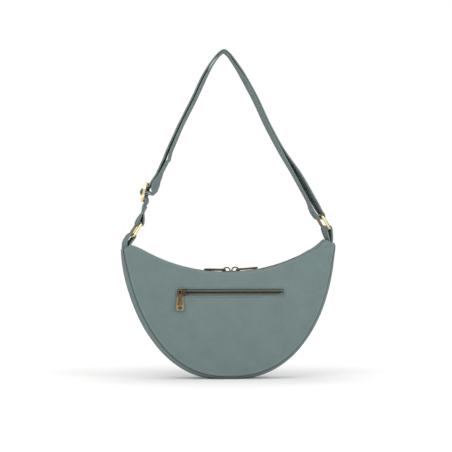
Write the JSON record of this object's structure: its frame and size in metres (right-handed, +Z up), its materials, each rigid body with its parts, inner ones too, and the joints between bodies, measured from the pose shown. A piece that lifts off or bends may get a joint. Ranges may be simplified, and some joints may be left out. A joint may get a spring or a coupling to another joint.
{
  "type": "belt bag",
  "caption": "Half-moon belt bag in canvas with a curved top zip that opens from the middle, a zipped slip pocket in front and a webbing strap on brass rings with a slide adjuster",
  "frame": {"origin": "on the floor under the middle of the bag, at the centre of the flat that it rests on", "axes": "+X to the right as seen from the front, -Y out of the front with the slip pocket, +Z up"},
  "size_m": [0.322, 0.0686, 0.492],
  "materials": {
    "canvas": "washed grey-green plain weave, matt",
    "webbing": "grey-green woven webbing, matt",
    "zip_tape": "grey-green zip tape, matt, with its dark brass teeth",
    "pocketing": "thin grey-green lining cloth, matt",
    "brass": "bright pale brass, polished",
    "antique_brass": "dark antique brass, brushed"
  },
  "bodies": {
    "bag": {"front_panel": "canvas", "back_panel": "canvas", "bottom_gusset": "canvas", "top_strip_front": "canvas", "top_strip_back": "canvas", "main_tape_front": "zip_tape", "main_tape_back": "zip_tape", "pocket_tape_lower": "zip_tape", "pocket_tape_upper": "zip_tape", "pocket_bag": "pocketing", "tab_left": "webbing", "tab_right": "webbing"},
    "zip_slider_left": {"main_slider_left": "antique_brass"},
    "zip_pull_left": {"main_pull_left": "antique_brass"},
    "zip_slider_right": {"main_slider_right": "antique_brass"},
    "zip_pull_right": {"main_pull_right": "antique_brass"},
    "pocket_zip_slider": {"pocket_slider": "antique_brass"},
    "pocket_zip_pull": {"pocket_pull": "antique_brass"},
    "left_ring": {"ring_left": "brass"},
    "strap": {"strap_ring_loop": "webbing", "strap_outer_run": "webbing", "strap_long_run": "webbing", "strap_return_run": "webbing"},
    "strap_adjuster": {"adjuster": "brass", "strap_weave": "webbing", "strap_bar_loop": "webbing"},
    "right_ring": {"ring_right": "brass"}
  },
  "joints": [
    {"name": "zip_left_run", "type": "hinge", "parent": "bag", "child": "zip_slider_left", "pos_m": [-0.003, 0, 0.415], "axis": [0, 1, 0], "range_deg": [0, 25], "deforming": ["main_tape_front", "main_tape_back"]},
    {"name": "zip_right_run", "type": "hinge", "parent": "bag", "child": "zip_slider_right", "pos_m": [-0.003, 0, 0.415], "axis": [0, -1, 0], "range_deg": [0, 22], "deforming": ["main_tape_front", "main_tape_back"]},
    {"name": "zip_pull_left_swing", "type": "hinge", "parent": "zip_slider_left", "child": "zip_pull_left", "pos_m": [-0.00491, 0, 0.16219], "axis": [0, 1, 0], "range_deg": [0, 100]},
    {"name": "zip_pull_right_swing", "type": "hinge", "parent": "zip_slider_right", "child": "zip_pull_right", "pos_m": [0.01372, 0, 0.16274], "axis": [0, -1, 0], "range_deg": [0, 100]},
    {"name": "pocket_zip_run", "type": "slide", "parent": "bag", "child": "pocket_zip_slider", "axis": [1, 0, 0], "range_m": [0, 0.138], "deforming": ["pocket_tape_lower", "pocket_tape_upper"]},
    {"name": "pocket_pull_swing", "type": "hinge", "parent": "pocket_zip_slider", "child": "pocket_zip_pull", "pos_m": [-0.07384, -0.03118, 0.12974], "axis": [0, 0.9945, -0.1043], "range_deg": [-45, 90]},
    {"name": "left_ring_swing", "type": "hinge", "parent": "bag", "child": "left_ring", "pos_m": [-0.1448, 0, 0.213], "axis": [-0.1564, 0.9877, 0], "range_deg": [-12, 12]},
    {"name": "strap_left_swing", "type": "hinge", "parent": "left_ring", "child": "strap", "pos_m": [-0.13279, 0.0019, 0.23193], "axis": [-0.1564, 0.9877, 0], "range_deg": [-13.2, 13.2]},
    {"name": "right_ring_swing", "type": "hinge", "parent": "bag", "child": "right_ring", "pos_m": [0.1488, 0, 0.2242], "axis": [-0.1564, 0.9877, 0], "range_deg": [-11.4, 11.4]},
    {"name": "adjuster_run", "type": "slide", "parent": "strap", "child": "strap_adjuster", "axis": [0.42, 0, 0.9075], "range_m": [0, 0.1], "deforming": ["strap_outer_run", "strap_return_run"]}
  ],
  "couplings": [
    {"joint": "strap_left_swing", "follows": "left_ring_swing", "ratio": -1.087},
    {"joint": "right_ring_swing", "follows": "left_ring_swing", "ratio": 0.935}
  ]
}
